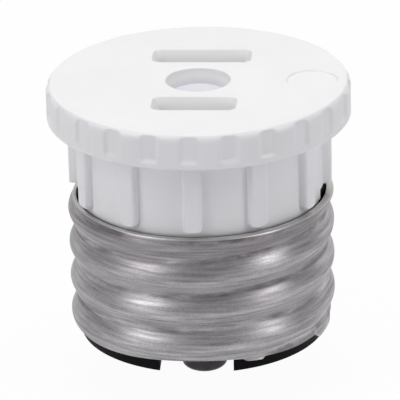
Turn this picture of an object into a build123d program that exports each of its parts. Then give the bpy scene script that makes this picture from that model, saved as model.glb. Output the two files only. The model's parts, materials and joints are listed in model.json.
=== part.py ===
from build123d import *
import os
from math import ceil, hypot, sqrt

# Lamp socket adapter: a medium screw base below, a polarised two-slot outlet face above.
# Millimetres. The origin is the tip of the centre contact, +Z leaves the outlet face
# and the narrow slot lies on the -Y side.

# Heights along the axis
contact_reach = 5.1     # contact tip below the foot
foot_drop = 1.25        # foot below the shell's lower edge
shell_height = 13.2
rim_to_face = 11.45     # shell rim to the outlet face

# Outlet body, outside
face_diameter = 29.8
flange_height = 3.5
face_bevel = 0.7
flute_count = 24
flute_width = 2.2
flute_depth = 0.25
flute_ledge = 0.6       # band of the flange left whole below the flutes
barrel_diameter = 24.3
skirt_start = 0.45      # taper to the skirt begins above the rim
skirt_end = 0.15        # taper ends below the rim
skirt_depth = 1.5       # seat of the skirt below the rim
rib_count = 12
rib_width = 1.9
rib_height = 0.8
rib_lift = 0.45         # rib end above the rim
rib_corner = 0.7
rib_edge = 0.3

# Outlet face
slot_spacing = 12.7
slot_width = 2.3
wide_slot = 8.7
narrow_slot = 7.1
slot_bevel = 0.4
well_diameter = 6.3
well_depth = 1.55
mark_diameter = 4.8
mark_depth = 0.15
mark_offset = 11.15

# Outlet body, inside
face_wall = 3.0
guide_wall = 1.0
guide_side = 0.2        # room beside a blade and round its clip
guide_lift = 0.3        # guide end above the base

# Screw shell
thread_pitch = 3.629
thread_diameter = 26.25
thread_depth = 0.65
thread_flat = 0.55      # level part of each crest and root
thread_start = 2.55     # crest on the +X side above the lower edge
shell_wall = 0.35       # at the thread roots

# Base insulator
foot_diameter = 24.4
foot_height = 3.2       # floor of the base above the underside of the foot
foot_notch_width = 7.2
foot_notch_depth = 4.2
foot_notch_rise = 0.5   # notch above the shell's lower edge
boss_tip_diameter = 5.4
boss_root_diameter = 8.6
upstand_wall = 1.2
ear_width = 4.6
ear_rise = 0.75         # ears and upstand above the shell rim

# Centre contact
contact_diameter = 4.5
contact_height = 2.1
contact_dome = 0.9
shank_diameter = 2.6
clinch_diameter = 4.2
clinch_height = 0.7

# Blade contacts, folded from strip
strip = 0.5
clip_width = 6.4
clip_spread = 1.25      # half the gap between the leaves at the floor
clip_pinch = 0.6        # half the gap that grips a blade
clip_knee = 2.5
clip_flare = 1.3
clip_flare_height = 2.0
clip_drop = 1.0         # clip mouth below the face wall
clip_bend = 0.4
strap_width = 4.0
tail_height = 4.0

# Fits
shell_fit = 0.06        # base in the shell, and neutral tail on the shell
skirt_fit = 0.33        # skirt of the body in the shell
body_fit = 0.1          # body on the base
clip_room = 0.25        # clips in the base
rivet_fit = 0.05        # shank in its hole

# Levels and radii that follow
foot_bottom = contact_reach
shell_bottom = foot_bottom + foot_drop
shell_rim = shell_bottom + shell_height
face_level = shell_rim + rim_to_face
flange_bottom = face_level - flange_height
seat = shell_rim - skirt_depth
floor = foot_bottom + foot_height
ear_top = shell_rim + ear_rise
face_radius = face_diameter / 2
barrel_radius = barrel_diameter / 2
crest_radius = thread_diameter / 2
root_radius = crest_radius - thread_depth
shell_bore = root_radius - shell_wall
core_radius = shell_bore - shell_fit
skirt_radius = shell_bore - skirt_fit
clip_reach = hypot(clip_width / 2, slot_spacing / 2 + clip_spread + strip)
cup_radius = clip_reach + clip_room
upstand_radius = cup_radius + upstand_wall
bore_radius = upstand_radius + body_fit
wall_middle = (barrel_radius + bore_radius) / 2
guide_depth = 2 * (clip_flare + strip + guide_side)
shank_radius = shank_diameter / 2
slots = {-slot_spacing / 2: narrow_slot, slot_spacing / 2: wide_slot}
above = 1.0             # how far cutters pass through a face


def block(x, y, bottom, top, at_y=0.0):
    return Pos(0, at_y, (bottom + top) / 2) * Box(x, y, top - bottom)


def post(radius, bottom, top):
    return Pos(0, 0, (bottom + top) / 2) * Cylinder(radius, top - bottom)


def rib():
    length = flange_bottom - shell_rim - rib_lift
    front = Rectangle(rib_width, length)
    front = chamfer(front.vertices().group_by(Axis.Y)[0], rib_corner)
    embed = barrel_radius - wall_middle
    bar = extrude(Plane.YZ * front, rib_height + embed)
    outer_face = bar.faces().sort_by(Axis.X)[-1]
    bar = chamfer(outer_face.edges().sort_by(Axis.Z)[:-1], rib_edge)
    return Pos(wall_middle, 0, flange_bottom - length / 2) * bar


def flute():
    section = Polygon(
        (face_radius - flute_depth, -flute_width / 4),
        (face_radius - flute_depth, flute_width / 4),
        (face_radius + flute_depth, flute_width * 3 / 4),
        (face_radius + flute_depth, -flute_width * 3 / 4),
        align=None,
    )
    return extrude(Pos(0, 0, flange_bottom + flute_ledge) * section, flange_height)


def slot(y, length):
    mouth = Rectangle(length + 2 * slot_bevel, slot_width + 2 * slot_bevel)
    lead_in = extrude(Pos(0, y, face_level) * mouth, -slot_bevel - slot_width / 4, taper=45)
    return lead_in + block(length, slot_width, face_level - face_wall - above, face_level + above, y)


def outlet_body():
    with BuildPart() as turned:
        with BuildSketch(Plane.XZ):
            with BuildLine():
                Polyline(
                    (0, seat),
                    (skirt_radius, seat),
                    (skirt_radius, shell_rim - skirt_end),
                    (barrel_radius, shell_rim + skirt_start),
                    (barrel_radius, flange_bottom),
                    (face_radius, flange_bottom),
                    (face_radius, face_level - face_bevel),
                    (face_radius - face_bevel, face_level),
                    (0, face_level),
                    close=True,
                )
            make_face()
        revolve(axis=Axis.Z)
    body = turned.part
    body += PolarLocations(0, rib_count) * rib()
    body -= PolarLocations(0, flute_count) * flute()
    body -= post(bore_radius, seat - above, face_level - face_wall)

    guide_bottom = ear_top + guide_lift
    inside = post(wall_middle, guide_bottom, face_level - face_wall / 2)
    for y, length in slots.items():
        room = length + 2 * guide_side
        guide = block(room + 2 * guide_wall, guide_depth + 2 * guide_wall, guide_bottom, face_level - face_wall / 2, y)
        body += guide & inside
        body -= block(room, guide_depth, guide_bottom - above, face_level - face_wall, y)
        body -= slot(y, length)

    body -= post(well_diameter / 2, face_level - well_depth, face_level + above)
    body -= Pos(mark_offset, 0, 0) * post(mark_diameter / 2, face_level - mark_depth, face_level + above)
    return body - block(face_diameter, ear_width + 2 * body_fit, seat - above, ear_top + body_fit)


def screw_shell():
    # one pitch of the thread in section, swept once round and stacked turn on turn
    flank = thread_pitch / 2 - thread_flat
    inner = shell_bore - shell_wall
    section = Polyline(
        (inner, 0, 0),
        (root_radius, 0, 0),
        (root_radius, 0, thread_flat),
        (crest_radius, 0, thread_flat + flank),
        (crest_radius, 0, 2 * thread_flat + flank),
        (root_radius, 0, thread_pitch),
        (inner, 0, thread_pitch),
        close=True,
    )
    round_once = Wire(Edge.make_helix(thread_pitch, thread_pitch, crest_radius))
    turn = Solid.sweep(Wire(section), round_once, is_frenet=True)

    crest = flank + 1.5 * thread_flat
    lowest = shell_bottom + thread_start - crest - 2 * thread_pitch
    turns = ceil(shell_height / thread_pitch) + 3
    stack = [Pos(0, 0, lowest + thread_pitch * i) * turn for i in range(turns)]
    coil = stack[0].fuse(*stack[1:])
    sleeve = post(crest_radius + above, shell_bottom, shell_rim) - post(shell_bore, shell_bottom, shell_rim)
    return coil & sleeve


def base_insulator():
    base = post(foot_diameter / 2, foot_bottom, shell_bottom)
    base += post(core_radius, foot_bottom, ear_top)
    beside_ears = post(face_radius, seat, ear_top + above) - post(upstand_radius, seat, ear_top + above)
    base -= beside_ears - block(face_diameter, ear_width, seat, ear_top + above)
    base -= post(cup_radius, floor, ear_top + above)
    boss_height = foot_bottom - contact_height
    boss = Cone(boss_tip_diameter / 2, boss_root_diameter / 2, boss_height)
    base += Pos(0, 0, contact_height + boss_height / 2) * boss
    base -= post(shank_radius + rivet_fit, 0, floor + above)

    notch_top = shell_bottom + foot_notch_rise
    for side in (-1, 1):
        middle = side * foot_diameter / 2
        base -= block(foot_notch_width, 2 * foot_notch_depth, foot_bottom - above, notch_top, middle)

    # way out for the neutral strap, and the groove that its tail lies in
    width = strap_width + 2 * body_fit
    base -= block(width, core_radius, floor, floor + strip + body_fit, cup_radius / 2 + core_radius / 2)
    groove_floor = tail_face() - strip - body_fit
    base -= block(width, 2 * above, floor, floor + tail_height + body_fit, groove_floor + above)
    return base


def centre_contact():
    head = contact_diameter / 2
    strap_top = floor + strip
    with BuildPart() as rivet:
        with BuildSketch(Plane.XZ):
            with BuildLine():
                dome = EllipticalCenterArc((0, contact_dome), head, contact_dome, start_angle=270, arc_size=90)
                Polyline(
                    dome @ 1,
                    (head, contact_height),
                    (shank_radius, contact_height),
                    (shank_radius, strap_top),
                    (clinch_diameter / 2, strap_top),
                    (shank_radius, strap_top + clinch_height),
                    (0, strap_top + clinch_height),
                    (0, 0),
                )
            make_face()
        revolve(axis=Axis.Z)
    return rivet.part


def clip(y):
    mouth = face_level - face_wall - clip_drop
    leaf = [
        (clip_spread, floor + strip),
        (clip_spread, floor + clip_knee),
        (clip_pinch, mouth - clip_flare_height),
        (clip_flare, mouth),
    ]
    outer_leaf = [(u + strip, z) for u, z in leaf[:0:-1]] + [(clip_spread + strip, floor)]
    half = leaf + outer_leaf
    folded = Polygon(*half, *[(-u, z) for u, z in reversed(half)], align=None)
    heights = folded.vertices().group_by(Axis.Y)
    folded = fillet(heights[0], clip_bend + strip)
    folded = fillet(folded.vertices().filter_by_position(Axis.Y, floor + strip, floor + strip), clip_bend)
    return Pos(0, y, 0) * extrude(Plane.YZ * folded, clip_width / 2, both=True)


def line_contact():
    y = -slot_spacing / 2
    strap = block(strap_width, -y, floor, floor + strip, y / 2)
    contact = clip(y) + strap + post(strap_width / 2, floor, floor + strip)
    return contact - post(shank_radius + rivet_fit, floor - above, floor + strip + above)


def tail_face():
    # flat tail whose two edges meet the inside of the shell
    return sqrt((shell_bore - shell_fit)**2 - (strap_width / 2)**2)


def neutral_contact():
    y = slot_spacing / 2
    end = tail_face()
    strap = block(strap_width, end - y, floor, floor + strip, (y + end) / 2)
    tail = block(strap_width, strip, floor, floor + tail_height, end - strip / 2)
    return clip(y) + strap + tail


nodes = {
    "outlet_body": outlet_body,
    "screw_shell": screw_shell,
    "base_insulator": base_insulator,
    "centre_contact": centre_contact,
    "line_contact": line_contact,
    "neutral_contact": neutral_contact,
}

os.makedirs("parts", exist_ok=True)
for name, make in nodes.items():
    shape = make()
    export_step(shape, f"parts/{name}.step")
    print(name, round(shape.volume, 2), "mm3")
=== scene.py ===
import json
from math import atan2, cos, hypot, pi, radians, sin, sqrt
import bmesh
import bpy
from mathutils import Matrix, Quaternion, Vector

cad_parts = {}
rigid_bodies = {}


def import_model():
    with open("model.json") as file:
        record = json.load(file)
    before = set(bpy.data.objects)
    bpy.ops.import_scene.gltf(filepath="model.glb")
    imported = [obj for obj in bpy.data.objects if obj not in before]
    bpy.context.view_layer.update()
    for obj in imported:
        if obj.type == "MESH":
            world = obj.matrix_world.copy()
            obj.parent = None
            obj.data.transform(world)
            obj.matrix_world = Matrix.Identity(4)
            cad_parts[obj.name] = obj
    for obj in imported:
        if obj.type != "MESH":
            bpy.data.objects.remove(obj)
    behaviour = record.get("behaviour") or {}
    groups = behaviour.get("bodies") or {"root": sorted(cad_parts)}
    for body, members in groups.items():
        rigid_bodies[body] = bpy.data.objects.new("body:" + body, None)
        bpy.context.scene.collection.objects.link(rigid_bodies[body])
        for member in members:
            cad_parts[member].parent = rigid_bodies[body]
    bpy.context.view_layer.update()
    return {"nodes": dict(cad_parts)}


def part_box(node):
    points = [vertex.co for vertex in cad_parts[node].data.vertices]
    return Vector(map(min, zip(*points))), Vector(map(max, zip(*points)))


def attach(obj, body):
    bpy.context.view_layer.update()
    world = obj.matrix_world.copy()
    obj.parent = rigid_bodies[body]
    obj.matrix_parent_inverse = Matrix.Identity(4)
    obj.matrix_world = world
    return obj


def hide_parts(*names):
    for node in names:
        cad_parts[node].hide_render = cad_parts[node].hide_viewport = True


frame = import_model()
mm = 0.001
scene = bpy.context.scene
scene.view_settings.view_transform = "Standard"
print("frame loaded:", ", ".join(sorted(frame["nodes"])))


def hexLinear(code):  # sRGB hex to linear colour
    channels = [int(code[i:i + 2], 16) / 255 for i in (1, 3, 5)]
    return [c / 12.92 if c <= 0.04045 else ((c + 0.055) / 1.055) ** 2.4 for c in channels] + [1.0]


def perMm(size):  # texture scale for a pattern of this size in mm
    return 1 / (size * mm)


# links: socket name or number to a value or to another node's socket
def addNode(tree, kind, links=None, **settings):
    node = tree.nodes.new(kind)
    for key, value in settings.items():
        setattr(node, key, value)
    for socket, value in (links or {}).items():
        if isinstance(value, bpy.types.NodeSocket):
            tree.links.new(value, node.inputs[socket])
        else:
            node.inputs[socket].default_value = value
    return node


def startMaterial(name):
    material = bpy.data.materials.new(name)
    material.use_nodes = True
    tree = material.node_tree
    return material, tree, tree.nodes["Principled BSDF"]


# ABS, injection moulded: clean satin white, a faint mottle and a fine spark grain off the mould, with
# painted shade on the floor of the well
absWhite = {
    "pale": "#f1f1f1", "dull": "#eaeaeb", "mottleSize": 7.0,
    "wellShade": "#d8d8dd",  # painted shade on the floor of the well
    "grainSize": 0.22, "grainHeight": 0.004,  # real spark grain is nearer 0.05 mm, drawn coarser to show
    "roughness": (0.36, 0.46), "ior": 1.53,
}


def mouldedAbs():
    finish = absWhite
    material, tree, shader = startMaterial("mouldedAbs")
    place = addNode(tree, "ShaderNodeTexCoord").outputs["Object"]
    mottle = addNode(tree, "ShaderNodeTexNoise", {
        "Vector": place, "Scale": perMm(finish["mottleSize"]), "Detail": 3.0, "Roughness": 0.6})
    tint = addNode(tree, "ShaderNodeMix", {
        0: mottle.outputs["Fac"], 6: hexLinear(finish["pale"]), 7: hexLinear(finish["dull"])},
        data_type="RGBA")
    # painted shade on the floor of the well, where its walls shade it
    recess = addNode(tree, "ShaderNodeAttribute", attribute_name="recess").outputs["Fac"]
    wellShaded = addNode(tree, "ShaderNodeMix", {
        0: recess, 6: tint.outputs[2], 7: hexLinear(finish["wellShade"])}, data_type="RGBA")
    low, high = finish["roughness"]
    sheen = addNode(tree, "ShaderNodeMapRange", {
        "Value": mottle.outputs["Fac"], "To Min": low, "To Max": high})
    grain = addNode(tree, "ShaderNodeTexNoise", {
        "Vector": place, "Scale": perMm(finish["grainSize"]), "Detail": 2.0})
    bump = addNode(tree, "ShaderNodeBump", {
        "Strength": 0.35, "Distance": finish["grainHeight"] * mm, "Height": grain.outputs["Fac"]})
    tree.links.new(wellShaded.outputs[2], shader.inputs["Base Color"])
    tree.links.new(sheen.outputs[0], shader.inputs["Roughness"])
    tree.links.new(bump.outputs[0], shader.inputs["Normal"])
    shader.inputs["IOR"].default_value = finish["ior"]
    return material


# aluminium sheet, rolled to a thread: satin grey broken by streaks that the rolls drew round the shell,
# a warm stain in patches, fine pits, painted shade with dirt in the roots, painted shade below the rim, the
# rim rubbed bright and painted as a highlight
aluminiumSheet = {
    "bright": "#c4c1c4", "dark": "#868387", "speckRange": (0.53, 0.97),
    "streakSize": 0.32, "streakLength": 6.0, "streakHeight": 0.008,  # finer in life, drawn coarser to show
    "pitSize": 0.12, "pitHeight": 0.006, "pitShare": 0.5,
    "stain": "#898486", "stainSize": 2.6, "stainSmear": 0.35, "stainRange": (0.44, 0.68),
    "stainInRoot": 0.7, "stainOnCrest": 0.55,  # the second is a share of the first
    # painted shade in the roots, with dirt, and below the rim
    "shadeAndGrime": "#6c686a", "shadeGrimeRange": (0.43, 0.63), "rootRange": (0.03, 0.2),
    # rim rubbed bright and painted as a highlight line
    "rimWearAndHighlight": "#c4c1c0",
    "roughness": (0.38, 0.54), "roughRange": (0.3, 0.7), "grainSpread": 0.65,
}


def rolledAluminium():
    finish = aluminiumSheet
    material, tree, shader = startMaterial("rolledAluminium")
    place = addNode(tree, "ShaderNodeTexCoord").outputs["Object"]
    crest = addNode(tree, "ShaderNodeAttribute", attribute_name="crest").outputs["Fac"]

    # streaks and pits
    stretch = finish["streakSize"] / finish["streakLength"]
    drawn = addNode(tree, "ShaderNodeMapping", {"Vector": place, "Scale": (stretch, stretch, 1.0)})
    streak = addNode(tree, "ShaderNodeTexNoise", {
        "Vector": drawn.outputs[0], "Scale": perMm(finish["streakSize"]), "Detail": 5.0, "Roughness": 0.6})
    pits = addNode(tree, "ShaderNodeTexNoise", {
        "Vector": place, "Scale": perMm(finish["pitSize"]), "Detail": 3.0})
    speckled = addNode(tree, "ShaderNodeMath", {
        0: pits.outputs["Fac"], 1: finish["pitShare"], 2: streak.outputs["Fac"]}, operation="MULTIPLY_ADD")
    low, high = finish["speckRange"]
    spread = addNode(tree, "ShaderNodeMapRange", {
        "Value": speckled.outputs[0], "From Min": low, "From Max": high})
    metal = addNode(tree, "ShaderNodeMix", {
        0: spread.outputs[0], 6: hexLinear(finish["dark"]), 7: hexLinear(finish["bright"])},
        data_type="RGBA")

    # stain in patches, more of it in the roots as painted shade
    smear = finish["stainSmear"]
    smeared = addNode(tree, "ShaderNodeMapping", {"Vector": place, "Scale": (smear, smear, 1.0)})
    stain = addNode(tree, "ShaderNodeTexNoise", {
        "Vector": smeared.outputs[0], "Scale": perMm(finish["stainSize"]), "Detail": 6.0,
        "Roughness": 0.6, "Distortion": 0.4})
    low, high = finish["stainRange"]
    blotch = addNode(tree, "ShaderNodeMapRange", {
        "Value": stain.outputs["Fac"], "From Min": low, "From Max": high, "To Max": finish["stainInRoot"]})
    lessOnCrest = addNode(tree, "ShaderNodeMapRange", {
        "Value": crest, "From Min": 0.0, "From Max": 0.5, "To Min": 1.0, "To Max": finish["stainOnCrest"]})
    share = addNode(tree, "ShaderNodeMath", {0: blotch.outputs[0], 1: lessOnCrest.outputs[0]}, operation="MULTIPLY")
    stained = addNode(tree, "ShaderNodeMix", {
        0: share.outputs[0], 6: metal.outputs[2], 7: hexLinear(finish["stain"])}, data_type="RGBA")

    # painted shade and dirt in the roots, in patches, and painted shade below the rim
    low, high = finish["rootRange"]
    inRoot = addNode(tree, "ShaderNodeMapRange", {
        "Value": crest, "From Min": low, "From Max": high, "To Min": 1.0, "To Max": 0.0},
        interpolation_type="SMOOTHSTEP")
    low, high = finish["shadeGrimeRange"]
    patchy = addNode(tree, "ShaderNodeMapRange", {
        "Value": stain.outputs["Fac"], "From Min": low, "From Max": high})
    line = addNode(tree, "ShaderNodeMath", {
        0: inRoot.outputs[0], 1: patchy.outputs[0]}, operation="MULTIPLY")
    underRim = addNode(tree, "ShaderNodeAttribute", attribute_name="underRim").outputs["Fac"]
    shadeAndDirt = addNode(tree, "ShaderNodeMath", {0: line.outputs[0], 1: underRim}, operation="MAXIMUM")
    shadedGrimy = addNode(tree, "ShaderNodeMix", {
        0: shadeAndDirt.outputs[0], 6: stained.outputs[2], 7: hexLinear(finish["shadeAndGrime"])}, data_type="RGBA")
    # the rim rubbed bright, and painted as a highlight line
    rimLit = addNode(tree, "ShaderNodeAttribute", attribute_name="rimWearAndHighlight").outputs["Fac"]
    tint = addNode(tree, "ShaderNodeMix", {
        0: rimLit, 6: shadedGrimy.outputs[2], 7: hexLinear(finish["rimWearAndHighlight"])}, data_type="RGBA")

    # gloss and relief; gloss spreads across the streaks
    low, high = finish["roughRange"]
    smooth, dull = finish["roughness"]
    rough = addNode(tree, "ShaderNodeMapRange", {
        "Value": streak.outputs["Fac"], "From Min": low, "From Max": high, "To Min": dull, "To Max": smooth})
    drawnBump = addNode(tree, "ShaderNodeBump", {
        "Strength": 0.6, "Distance": finish["streakHeight"] * mm, "Height": streak.outputs["Fac"]})
    bump = addNode(tree, "ShaderNodeBump", {
        "Strength": 0.5, "Distance": finish["pitHeight"] * mm, "Height": pits.outputs["Fac"],
        "Normal": drawnBump.outputs[0]})
    around = addNode(tree, "ShaderNodeTangent", direction_type="RADIAL", axis="Z")
    tree.links.new(tint.outputs[2], shader.inputs["Base Color"])
    tree.links.new(rough.outputs[0], shader.inputs["Roughness"])
    tree.links.new(bump.outputs[0], shader.inputs["Normal"])
    tree.links.new(around.outputs[0], shader.inputs["Tangent"])
    shader.inputs["Metallic"].default_value = 1.0
    shader.inputs["Anisotropic"].default_value = finish["grainSpread"]
    shader.inputs["Anisotropic Rotation"].default_value = 0.25  # a quarter turn
    return material


# phenolic resin, compression moulded: near black, slight filler mottle, dull skin
phenolicBlack = {
    "dark": "#050507", "filler": "#0f0f12", "fillerSize": 0.9, "skinHeight": 0.006, "skinSize": 0.5,
    "roughness": (0.42, 0.58), "ior": 1.6, "gloss": 0.05,  # skin long dulled, so far below the usual gloss
}


def mouldedPhenolic():
    finish = phenolicBlack
    material, tree, shader = startMaterial("mouldedPhenolic")
    place = addNode(tree, "ShaderNodeTexCoord").outputs["Object"]
    filler = addNode(tree, "ShaderNodeTexNoise", {
        "Vector": place, "Scale": perMm(finish["fillerSize"]), "Detail": 5.0})
    tint = addNode(tree, "ShaderNodeMix", {
        0: filler.outputs["Fac"], 6: hexLinear(finish["dark"]), 7: hexLinear(finish["filler"])},
        data_type="RGBA")
    skin = addNode(tree, "ShaderNodeTexNoise", {
        "Vector": place, "Scale": perMm(finish["skinSize"]), "Detail": 2.0})
    low, high = finish["roughness"]
    rough = addNode(tree, "ShaderNodeMapRange", {
        "Value": skin.outputs["Fac"], "To Min": low, "To Max": high})
    bump = addNode(tree, "ShaderNodeBump", {
        "Strength": 0.4, "Distance": finish["skinHeight"] * mm, "Height": skin.outputs["Fac"]})
    tree.links.new(tint.outputs[2], shader.inputs["Base Color"])
    tree.links.new(rough.outputs[0], shader.inputs["Roughness"])
    tree.links.new(bump.outputs[0], shader.inputs["Normal"])
    shader.inputs["IOR"].default_value = finish["ior"]
    shader.inputs["Specular IOR Level"].default_value = finish["gloss"]
    return material


# brass: tinned, painted dark for the shade it sits in (centre contact), or bare rolled strip, warm and
# spotted (clips)
brassFinish = {
    # painted shade: the centre contact drawn dark for the shade under the shell
    "shadedTinnedBrass": {"clean": "#4a4a4b", "dull": "#2d2c2d", "spotSize": 0.8, "roughness": (0.32, 0.55)},
    "stripBrass": {"clean": "#c7a15a", "dull": "#957236", "spotSize": 1.6, "roughness": (0.25, 0.4)},
}


def agedBrass(name):
    finish = brassFinish[name]
    material, tree, shader = startMaterial(name)
    place = addNode(tree, "ShaderNodeTexCoord").outputs["Object"]
    spots = addNode(tree, "ShaderNodeTexNoise", {
        "Vector": place, "Scale": perMm(finish["spotSize"]), "Detail": 5.0, "Roughness": 0.6})
    tint = addNode(tree, "ShaderNodeMix", {
        0: spots.outputs["Fac"], 6: hexLinear(finish["clean"]), 7: hexLinear(finish["dull"])},
        data_type="RGBA")
    low, high = finish["roughness"]
    rough = addNode(tree, "ShaderNodeMapRange", {
        "Value": spots.outputs["Fac"], "To Min": low, "To Max": high})
    tree.links.new(tint.outputs[2], shader.inputs["Base Color"])
    tree.links.new(rough.outputs[0], shader.inputs["Roughness"])
    shader.inputs["Metallic"].default_value = 1.0
    return material


whiteAbs = mouldedAbs()
shellMetal = rolledAluminium()
blackPhenolic = mouldedPhenolic()
print("materials made")


def boxMm(node):  # lowest and highest corner of a CAD piece, in mm
    return [[round(value / mm, 3) for value in corner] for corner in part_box(node)]


bodyLow, bodyHigh = boxMm("outlet_body")
shellLow, shellHigh = boxMm("screw_shell")
faceLevel, rimLevel = bodyHigh[2], shellHigh[2]
cutPast = 1.0  # mm that a cut runs on past the surface it opens


def smoothStep(low, high, value):
    t = min(1.0, max(0.0, (value - low) / (high - low)))
    return t * t * (3 - 2 * t)


# columns: (angle, list of (radius, height) in mm), all lists of one length; looped closes the profile
def skinRings(name, columns, material, looped):
    points, faces = [], []
    count, rows = len(columns), len(columns[0][1])
    for row in range(rows):
        for angle, profile in columns:
            radius, height = profile[row]
            points.append((radius * cos(angle) * mm, radius * sin(angle) * mm, height * mm))
    for row in range(rows if looped else rows - 1):
        below = (row + 1) % rows
        for j in range(count):
            k = (j + 1) % count
            faces.append((row * count + j, below * count + j, below * count + k, row * count + k))
    if not looped:  # flat ends
        faces.append(tuple(range(count)))
        faces.append(tuple((rows - 1) * count + j for j in reversed(range(count))))
    mesh = bpy.data.meshes.new(name)
    mesh.from_pydata(points, [], faces)
    mesh.materials.append(material)
    piece = bpy.data.objects.new(name, mesh)
    scene.collection.objects.link(piece)
    return piece


def stackFaces(around, rows):  # sides and ends of rings of points stacked from the bottom up
    faces = []
    for i in range(rows - 1):
        for j in range(around):
            k = (j + 1) % around
            faces.append((around * i + j, around * i + k, around * (i + 1) + k, around * (i + 1) + j))
    faces.append(tuple(reversed(range(around))))
    faces.append(tuple(around * (rows - 1) + j for j in range(around)))
    return faces


def roundedPrism(sizeX, sizeY, rows, atY, corner, steps=5):  # rows: (height, growth) from the bottom up
    points = []
    for height, grow in rows:
        for i, (sx, sy) in enumerate(((1, 1), (-1, 1), (-1, -1), (1, -1))):
            for j in range(steps):
                a = pi / 2 * (i + j / (steps - 1))
                x = sx * (sizeX / 2 - corner) + (corner + grow) * cos(a)
                y = sy * (sizeY / 2 - corner) + (corner + grow) * sin(a)
                points.append((x * mm, (atY + y) * mm, height * mm))
    return points, stackFaces(4 * steps, len(rows))


def turnedPlug(profile, atX=0.0, sides=96):  # profile: (radius, height) in mm from the bottom up
    points = []
    for radius, height in profile:
        for j in range(sides):
            a = 2 * pi * j / sides
            points.append(((atX + radius * cos(a)) * mm, radius * sin(a) * mm, height * mm))
    return points, stackFaces(sides, len(profile))


def easedMouth(radius, top, ease, steps=5):  # profile of a quarter round that opens a bore towards the top
    turns = [pi / 2 * i / steps for i in range(steps + 1)]
    profile = [(radius + ease * (1 - cos(a)), top - ease + ease * sin(a)) for a in turns]
    return profile + [(radius + ease, top + cutPast)]


def combine(piece, shapes, operation):
    for points, faces in shapes:
        mesh = bpy.data.meshes.new("tool")
        mesh.from_pydata(points, [], faces)
        tool = bpy.data.objects.new("tool", mesh)
        scene.collection.objects.link(tool)
        step = piece.modifiers.new("step", "BOOLEAN")
        step.operation, step.object, step.solver = operation, tool, "EXACT"
        bpy.context.view_layer.update()
        result = bpy.data.meshes.new_from_object(piece.evaluated_get(bpy.context.evaluated_depsgraph_get()))
        piece.modifiers.clear()
        old, piece.data = piece.data, result
        bpy.data.meshes.remove(old)
        bpy.data.objects.remove(tool)
        bpy.data.meshes.remove(mesh)


def shadeEdges(piece, angle):
    piece.data.shade_smooth()
    piece.data.set_sharp_from_angle(angle=radians(angle))


# white moulding: fluted flange, ribbed barrel, skirt in the shell, slots and well in the face
# sizes in mm, angles in degrees
outletBody = {
    "faceLevel": faceLevel, "flangeBottom": faceLevel - 3.5, "faceRadius": bodyHigh[0], "sharpAngle": 35,
    "edgeDrop": 0.85, "edgeCrease": 40, "edgeSteps": 16, "faceRows": (0.5, 0.1),
    "fluteCount": 24, "fluteWidth": 2.2, "fluteFloor": 1.1, "fluteDepth": 0.25,
    "fluteLedge": 0.6, "ledgeEase": (-0.1, 0.4), "ledgeRows": (1.2, 0.7, 0.4, 0.3, 0.2, 0.1, 0, -0.1, -0.3),
    "lowerRound": 0.2, "underFillet": 0.25,  # edge of the flange and the corner below it
    "barrelRadius": 12.15, "barrelStart": 0.9, "barrelRows": 6, "barrelStep": 1.0,
    "ribCount": 12, "ribWidth": 1.9, "ribHeight": 0.8, "ribCorner": 0.65, "ribRound": 0.3,
    "ribEnd": rimLevel + 0.45, "endReach": 1.0, "endRows": 13, "endStep": 0.1,  # close rows at the rib ends
    "skirtRadius": 11.79, "skirtStart": rimLevel - 0.05, "skirtEnd": rimLevel - 0.45,
    "skirtRows": (0.4, 0.2, 0), "seat": bodyLow[2],
    "earGap": 4.8, "earTop": rimLevel + 0.85,
    "boreRadius": 10.26, "boreLip": 0.6, "boreRows": (faceLevel - 8.5, faceLevel - 6.0),
    "underFace": faceLevel - 3.0,
    "slotY": 6.35, "slotWidth": 2.3, "narrowSlot": 7.1, "wideSlot": 8.7, "slotCorner": 0.25,
    "slotBevel": 0.58, "bevelDepth": 0.82,
    "guideWall": 1.0, "guideSide": 0.2, "guideDepth": 4.0, "guideBottom": rimLevel + 1.05, "guideRoot": 1.5,
    "wellRadius": 3.15, "wellFloor": 2.8, "wellDepth": 1.55, "wellEase": 0.15, "wellFillet": 0.1,
    "markRadius": 2.4, "markDepth": 0.15, "markSlope": 0.12, "markX": 11.15,
}


def offMiddle(angle, count, radius):  # way round from the middle of the nearest of evenly spaced places
    step = 2 * pi / count
    return abs((angle + step / 2) % step - step / 2) * radius


def fluteCut(angle):  # level floor, eased sides
    body = outletBody
    off = offMiddle(angle, body["fluteCount"], body["faceRadius"])
    return body["fluteDepth"] * (1 - smoothStep(body["fluteFloor"] / 2, body["fluteWidth"] / 2, off))


def ribShape(angle, height):  # 0 off a rib, 1 on its flat, rounded over between
    body = outletBody
    corner = body["ribCorner"]
    across = offMiddle(angle, body["ribCount"], body["barrelRadius"]) - (body["ribWidth"] / 2 - corner)
    below = body["ribEnd"] + corner - height
    inside = corner - hypot(max(across, 0), max(below, 0)) - min(max(across, below), 0)
    t = min(1.0, max(0.0, inside / body["ribRound"]))
    return sqrt(1 - (1 - t) ** 2)


def flangeColumn(angle):  # from the face over its eased edge and the flutes to the underside
    body = outletBody
    top, low, wide, drop = body["faceLevel"], body["flangeBottom"], body["faceRadius"], body["edgeDrop"]
    flute = wide - fluteCut(angle)
    crease = radians(body["edgeCrease"])
    edge = drop / cos(crease)
    start = wide - edge + edge * sin(crease)
    column = [(start - inset, top) for inset in body["faceRows"]]
    for i in range(body["edgeSteps"] + 1):
        a = crease + (pi / 2 - crease) * i / body["edgeSteps"]
        column.append((min(wide - edge + edge * sin(a), flute), top - drop + edge * cos(a)))
    ledge = low + body["fluteLedge"]
    easeLow, easeHigh = body["ledgeEase"]
    for row in body["ledgeRows"]:
        height = ledge + row
        depth = (wide - flute) * smoothStep(ledge + easeLow, ledge + easeHigh, height)
        column.append((wide - depth, height))
    bend = body["lowerRound"]
    for i in range(5):
        a = pi / 2 * i / 4
        column.append((wide - bend + bend * cos(a), low + bend - bend * sin(a)))
    return column


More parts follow.
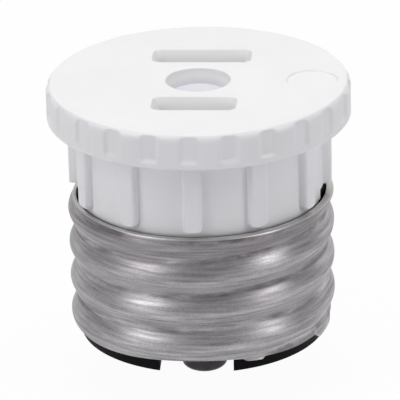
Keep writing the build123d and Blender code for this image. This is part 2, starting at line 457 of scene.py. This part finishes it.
def bodyColumn(angle):  # flange, barrel with ribs, skirt, then up the bore
    body = outletBody
    low, wide = body["flangeBottom"], body["faceRadius"]
    barrel, skirt, bore = body["barrelRadius"], body["skirtRadius"], body["boreRadius"]
    column = flangeColumn(angle)
    outer = barrel + body["ribHeight"] * ribShape(angle, low)
    column.append(((wide + outer) / 2, low))
    bend = body["underFillet"]
    for i in range(4):
        a = pi / 2 * i / 3
        column.append((outer + bend - bend * sin(a), low - bend + bend * cos(a)))
    notch = abs(sin(angle)) * skirt < body["earGap"] / 2
    turn = body["ribEnd"] + body["endReach"]
    heights = [low - body["barrelStart"] - body["barrelStep"] * i for i in range(body["barrelRows"])]
    heights += [turn - body["endStep"] * i for i in range(body["endRows"])]
    heights += [body["skirtEnd"] + row for row in body["skirtRows"]]
    heights.append(body["seat"])
    for height in heights:
        if notch and height < turn:  # wall stops above the ear of the base
            height = turn - (turn - height) * (turn - body["earTop"]) / (turn - body["seat"])
        taper = (height - body["skirtEnd"]) / (body["skirtStart"] - body["skirtEnd"])
        wall = skirt + (barrel - skirt) * min(1.0, max(0.0, taper))
        column.append((wall + (barrel + body["ribHeight"] - wall) * ribShape(angle, height), height))
    foot = body["earTop"] if notch else body["seat"]
    column += [(bore, height) for height in (foot, *body["boreRows"], body["underFace"])]
    column.append((bore - body["boreLip"], body["underFace"]))
    return column


def slotShapes():  # a guide for each blade below the face, and what is cut from guide and face
    body = outletBody
    top, under, corner = body["faceLevel"], body["underFace"], body["slotCorner"]
    bottom, bevel, depth = body["guideBottom"], body["slotBevel"], body["guideDepth"]
    guides, cuts = [], []
    for y, length in ((-body["slotY"], body["narrowSlot"]), (body["slotY"], body["wideSlot"])):
        room = length + 2 * body["guideSide"]
        walls = 2 * body["guideWall"]
        guide = [(bottom, 0), (under + body["guideRoot"], 0)]
        guides.append(roundedPrism(room + walls, depth + walls, guide, y, corner))
        cuts.append(roundedPrism(room, depth, [(bottom - cutPast, 0), (under, 0)], y, corner))
        leadIn = [(under - cutPast, 0), (top - body["bevelDepth"], 0), (top, bevel), (top + cutPast, bevel)]
        cuts.append(roundedPrism(length, body["slotWidth"], leadIn, y, corner))
    return guides, cuts


def wellShape():  # level floor, fillet, wall that opens a little, eased mouth
    body = outletBody
    top, bend, floor = body["faceLevel"], body["wellFillet"], body["wellFloor"]
    foot = top - body["wellDepth"]
    turns = [pi / 2 * i / 6 for i in range(7)]
    well = [(floor - bend + bend * sin(a), foot + bend - bend * cos(a)) for a in turns]
    well.append(((floor + body["wellRadius"]) / 2, (foot + top) / 2))
    return turnedPlug(well + easedMouth(body["wellRadius"], top, body["wellEase"]))


def markShape():  # shallow round mark, left bare
    body = outletBody
    top = body["faceLevel"]
    outer = body["markRadius"] + body["markSlope"]
    profile = [(body["markRadius"], top - body["markDepth"]), (outer, top), (outer, top + cutPast)]
    return turnedPlug(profile, body["markX"])


def shadeWellFloor(mesh):  # marks the floor of the well and its fillet, for the painted shade there
    body = outletBody
    close = 1e-6  # metres
    low = (body["faceLevel"] - body["wellDepth"]) * mm
    high = low + body["wellFillet"] * mm
    recess = mesh.attributes.new("recess", "FLOAT", "POINT")
    for i, vertex in enumerate(mesh.vertices):
        inside = hypot(vertex.co.x, vertex.co.y) < body["wellRadius"] * mm + close
        recess.data[i].value = float(inside and low - close < vertex.co.z < high + close)


def makeOutletBody():
    halfCell = [0, 0.8, 1.6, 2.4, 3.0, 3.5, 3.9, 4.3, 4.6, 4.8, 4.95, 5.1, 5.5, 6.2, 7.0, 7.8, 8.6,
                9.4, 10.2, 10.8, 11.2, 11.6, 12.0, 12.6, 13.4, 14.2]  # close at the rib and flute edges
    cellWidth = 360 / outletBody["ribCount"]
    cell = [-cellWidth / 2] + [-a for a in reversed(halfCell[1:])] + halfCell
    angles = [radians(cellWidth * i + a) for i in range(outletBody["ribCount"]) for a in cell]
    piece = skinRings("outletBody", [(a, bodyColumn(a)) for a in angles], whiteAbs, looped=False)
    guides, cuts = slotShapes()
    combine(piece, guides, "UNION")
    combine(piece, cuts + [wellShape(), markShape()], "DIFFERENCE")
    shadeWellFloor(piece.data)
    shadeEdges(piece, outletBody["sharpAngle"])
    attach(piece, "root")
    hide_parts("outlet_body")
    print("outlet body:", len(piece.data.polygons), "faces")


makeOutletBody()


# rolled sheet: round-crested right-hand thread, rolled rim, lower edge waved and pressed down in two places
# sizes in mm, angles in degrees
screwShell = {
    "bottom": shellLow[2], "rim": rimLevel, "wall": 0.35, "sharpAngle": 50,
    "crestRadius": shellHigh[0] - 0.005, "rootRadius": shellHigh[0] - 0.65, "crestShare": 0.8,
    "pitch": 3.629, "crestAtX": shellLow[2] + 2.55,
    "columns": 320, "rows": 112, "insideEvery": 3,
    "lip": 0.1, "lipRise": 0.03,  # lower edge, broken slightly
    "beadHeight": 0.4, "beadRise": 0.05, "beadRows": 6, "rimRound": 0.15, "rimSteps": 5,
    "mouthRadius": 12.4, "mouthDepth": 1.1,
    "edgeLift": 0.15, "edgeSag": 0.25, "edgeFlare": 0.2, "edgeReach": 1.1,  # four waves of the lower edge
    "tabs": (
        {"angle": -63.5, "width": 11.0, "drop": 0.24, "flare": 0.05},
        {"angle": -15.5, "width": 24.0, "drop": 0.62, "flare": -0.25},
    ),
    "tabFlat": 0.6,  # share of a tab's half width at full drop
    "rimBand": 0.1, "rimBlur": 0.04,  # rubbed bright and painted as a highlight line
    "beadRoot": (1.1, 0.3),  # below the bright band the sheet counts as a root and takes its painted shade
    "rimShadeShare": 0.4, "rimShadeBand": (2.2, 1.0),  # painted shade below the rim
}


def threadWave(angle, height):  # 0 in a root, 1 on a crest
    shell = screwShell
    phase = 2 * pi * (height - shell["crestAtX"]) / shell["pitch"] - angle
    return (0.5 + 0.5 * cos(phase)) ** shell["crestShare"]


def lowerEdge(angle):  # height of the edge and how far it stands out
    shell = screwShell
    pressed = sin(2 * angle) ** 2
    bottom = shell["bottom"] + shell["edgeLift"] - shell["edgeSag"] * pressed
    flare = shell["edgeFlare"] * pressed
    for tab in shell["tabs"]:
        off = (angle - radians(tab["angle"]) + pi) % (2 * pi) - pi
        half = radians(tab["width"] / 2)
        share = 1 - smoothStep(half * shell["tabFlat"], half, abs(off))
        bottom -= tab["drop"] * share
        flare += tab["flare"] * share
    return bottom, flare


def shellColumn(angle):  # up the outside, over the rim and down the inside
    shell = screwShell
    rim, root, bead, bend = shell["rim"], shell["rootRadius"], shell["beadHeight"], shell["rimRound"]
    bottom, flare = lowerEdge(angle)
    collar = rim - bead
    heights = [bottom + (collar - bottom) * i / shell["rows"] for i in range(shell["rows"] + 1)]
    heights += [collar + (bead - bend) * i / shell["beadRows"] for i in range(1, shell["beadRows"] + 1)]
    outside, inside = [], []
    for i, height in enumerate(heights):
        radius = root + (shell["crestRadius"] - root) * threadWave(angle, height)
        radius += flare * (1 - smoothStep(0, shell["edgeReach"], height - bottom))
        if height > collar:
            radius += shell["beadRise"] * sin(pi * (height - collar) / bead) ** 2
        outside.append((radius, height))
        if i % shell["insideEvery"] == 0 or height > collar:
            mouth = smoothStep(rim - shell["mouthDepth"], rim - bead, height)
            inner = radius - shell["wall"]
            inside.append((inner + min(0, shell["mouthRadius"] - inner) * mouth, height))
    radius, height = outside[0]
    outside[:1] = [(radius - shell["lip"], height), (radius, height + shell["lipRise"])]
    radius = outside[-1][0]
    for i in range(1, shell["rimSteps"] + 1):
        a = pi / 2 * i / shell["rimSteps"]
        outside.append((radius - bend + bend * cos(a), rim - bend + bend * sin(a)))
    inside.append((inside[-1][0], rim))
    return outside + list(reversed(inside))


def markShell(mesh):  # attributes for the metal: thread height, painted highlight on the rim, painted shade below the rim
    shell = screwShell
    crest = mesh.attributes.new("crest", "FLOAT", "POINT")
    rimWearAndHighlight = mesh.attributes.new("rimWearAndHighlight", "FLOAT", "POINT")
    underRim = mesh.attributes.new("underRim", "FLOAT", "POINT")
    edge = shell["rim"] - shell["rimBand"]
    blur = shell["rimBlur"]
    rootLow, rootHigh = shell["beadRoot"]
    shadeLow, shadeHigh = shell["rimShadeBand"]
    # painted shade rising towards the rim
    for i, vertex in enumerate(mesh.vertices):
        x, y, z = vertex.co
        height = z / mm
        beadRoot = smoothStep(edge - rootLow, edge - rootHigh, height)
        crest.data[i].value = threadWave(atan2(y, x), height) * (1 - beadRoot)
        rimWearAndHighlight.data[i].value = smoothStep(edge - blur, edge + blur, height)
        underRim.data[i].value = shell["rimShadeShare"] * smoothStep(edge - shadeLow, edge - shadeHigh, height)


def makeScrewShell():
    count = screwShell["columns"]
    angles = [2 * pi * j / count for j in range(count)]
    piece = skinRings("screwShell", [(a, shellColumn(a)) for a in angles], shellMetal, looped=True)
    mesh = piece.data
    skin = bmesh.new()
    skin.from_mesh(mesh)
    bmesh.ops.recalc_face_normals(skin, faces=skin.faces)
    skin.to_mesh(mesh)
    skin.free()
    markShell(mesh)
    shadeEdges(piece, screwShell["sharpAngle"])
    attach(piece, "root")
    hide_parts("screw_shell")
    print("screw shell:", len(mesh.polygons), "faces")


makeScrewShell()

clipBrass = agedBrass("stripBrass")
finishes = {
    "base_insulator": blackPhenolic, "centre_contact": agedBrass("shadedTinnedBrass"),
    "line_contact": clipBrass, "neutral_contact": clipBrass,
}
for nodeName, finish in finishes.items():
    node = frame["nodes"][nodeName]
    node.data.materials.clear()
    node.data.materials.append(finish)
print("CAD pieces finished")


def seenShare(tree, share):  # this share for rays from the eye, a reflection or through glass, else none
    rays = addNode(tree, "ShaderNodeLightPath").outputs
    seen = addNode(tree, "ShaderNodeMath", {
        0: rays["Is Camera Ray"], 1: rays["Is Glossy Ray"]}, operation="MAXIMUM")
    seen = addNode(tree, "ShaderNodeMath", {
        0: seen.outputs[0], 1: rays["Is Transmission Ray"]}, operation="MAXIMUM")
    return addNode(tree, "ShaderNodeMath", {0: seen.outputs[0], 1: share}, operation="MULTIPLY").outputs[0]


# pale studio floor that runs up behind, white to the eye and to reflections, shadow kept; metres
studioFloor = {
    "colour": "#efeff5", "roughness": 0.9, "whiteShare": 0.96,
    "size": 1.2, "back": 0.7, "rise": 0.9, "bend": 0.3, "bendSteps": 12,
}


def floorPaint():
    material, tree, shader = startMaterial("floorPaint")
    shader.inputs["Base Color"].default_value = hexLinear(studioFloor["colour"])
    shader.inputs["Roughness"].default_value = studioFloor["roughness"]
    white = addNode(tree, "ShaderNodeEmission", {"Strength": 1.0})
    mixed = addNode(tree, "ShaderNodeMixShader", {
        0: seenShare(tree, studioFloor["whiteShare"]), 1: shader.outputs[0], 2: white.outputs[0]})
    tree.links.new(mixed.outputs[0], tree.nodes["Material Output"].inputs["Surface"])
    return material


def makeFloor():
    size, back, bend = studioFloor["size"], studioFloor["back"], studioFloor["bend"]
    steps = studioFloor["bendSteps"]
    profile = [(-size, 0.0), (back - bend, 0.0)]
    for i in range(1, steps + 1):
        a = pi / 2 * i / steps
        profile.append((back - bend + bend * sin(a), bend - bend * cos(a)))
    profile.append((back, studioFloor["rise"]))
    points = [(side * size, y, z) for y, z in profile for side in (-1, 1)]
    faces = [(2 * i, 2 * i + 1, 2 * i + 3, 2 * i + 2) for i in range(len(profile) - 1)]
    mesh = bpy.data.meshes.new("studioFloor")
    mesh.from_pydata(points, [], faces)
    mesh.shade_smooth()
    mesh.materials.append(floorPaint())
    floor = bpy.data.objects.new("studioFloor", mesh)
    scene.collection.objects.link(floor)


makeFloor()


# soft boxes: a wide one overhead, a tall one each side in front; azimuth from the front, positive right
softBoxes = {
    "overhead": {"azimuth": 180, "elevation": 84, "distance": 0.50, "size": (0.40, 0.40), "power": 1.78},
    "leftBox": {"azimuth": -55, "elevation": 36, "distance": 0.45, "size": (0.21, 0.32), "power": 0.74},
    "rightBox": {"azimuth": 65, "elevation": 36, "distance": 0.45, "size": (0.13, 0.32), "power": 0.6},
}
boxAim = 0.018  # metres above the floor
fillLight = {
    "colour": "#e6e4ee", "strength": 0.04,
    "seenColour": "#a0a0a2",  # dim studio where it is reflected
}


def towards(azimuth, elevation):
    a, e = radians(azimuth), radians(elevation)
    return Vector((sin(a) * cos(e), -cos(a) * cos(e), sin(e)))


def makeBoxes():
    middle = Vector((0, 0, boxAim))
    for name, box in softBoxes.items():
        light = bpy.data.lights.new(name, "AREA")
        light.shape = "RECTANGLE"
        light.size, light.size_y = box["size"]
        light.energy = box["power"]
        lamp = bpy.data.objects.new(name, light)
        way = towards(box["azimuth"], box["elevation"])
        lamp.location = middle + way * box["distance"]
        lamp.rotation_mode = "QUATERNION"
        lamp.rotation_quaternion = way.to_track_quat("Z", "Y")
        scene.collection.objects.link(lamp)


def makeFill():
    world = bpy.data.worlds.new("fillLight")
    world.use_nodes = True
    tree = world.node_tree
    fill = tree.nodes["Background"]
    fill.inputs["Color"].default_value = hexLinear(fillLight["colour"])
    fill.inputs["Strength"].default_value = fillLight["strength"]
    seen = addNode(tree, "ShaderNodeBackground", {
        "Color": hexLinear(fillLight["seenColour"]), "Strength": 1.0})
    mixed = addNode(tree, "ShaderNodeMixShader", {
        0: seenShare(tree, 1.0), 1: fill.outputs[0], 2: seen.outputs[0]})
    tree.links.new(mixed.outputs[0], tree.nodes["World Output"].inputs["Surface"])
    scene.world = world


makeBoxes()
makeFill()
print("floor and lights set")

# long lens, from a little above; distance is to the middle of the face, aim is near the axis
# sizes in mm, angles in degrees
shot = {
    "azimuth": 4.0, "elevation": 21.37, "distance": 414.5, "lens": 382.2, "sensor": 36.0,
    "faceLevel": faceLevel, "aimHeight": 18.21, "aimSide": -0.1, "roll": 1.42,
}


def makeCamera():
    data = bpy.data.cameras.new("shot")
    data.lens = shot["lens"]
    data.sensor_width = shot["sensor"]
    data.clip_start, data.clip_end = 0.01, 10.0
    camera = bpy.data.objects.new("shot", data)
    back = towards(shot["azimuth"], shot["elevation"])
    camera.location = Vector((0, 0, shot["faceLevel"] * mm)) + back * shot["distance"] * mm
    side = towards(shot["azimuth"] + 90, 0)
    aim = Vector((0, 0, shot["aimHeight"] * mm)) + side * shot["aimSide"] * mm
    camera.rotation_mode = "QUATERNION"
    level = (aim - camera.location).to_track_quat("-Z", "Y")
    camera.rotation_quaternion = level @ Quaternion((0, 0, 1), -radians(shot["roll"]))
    scene.collection.objects.link(camera)
    scene.camera = camera


makeCamera()
print("camera set")
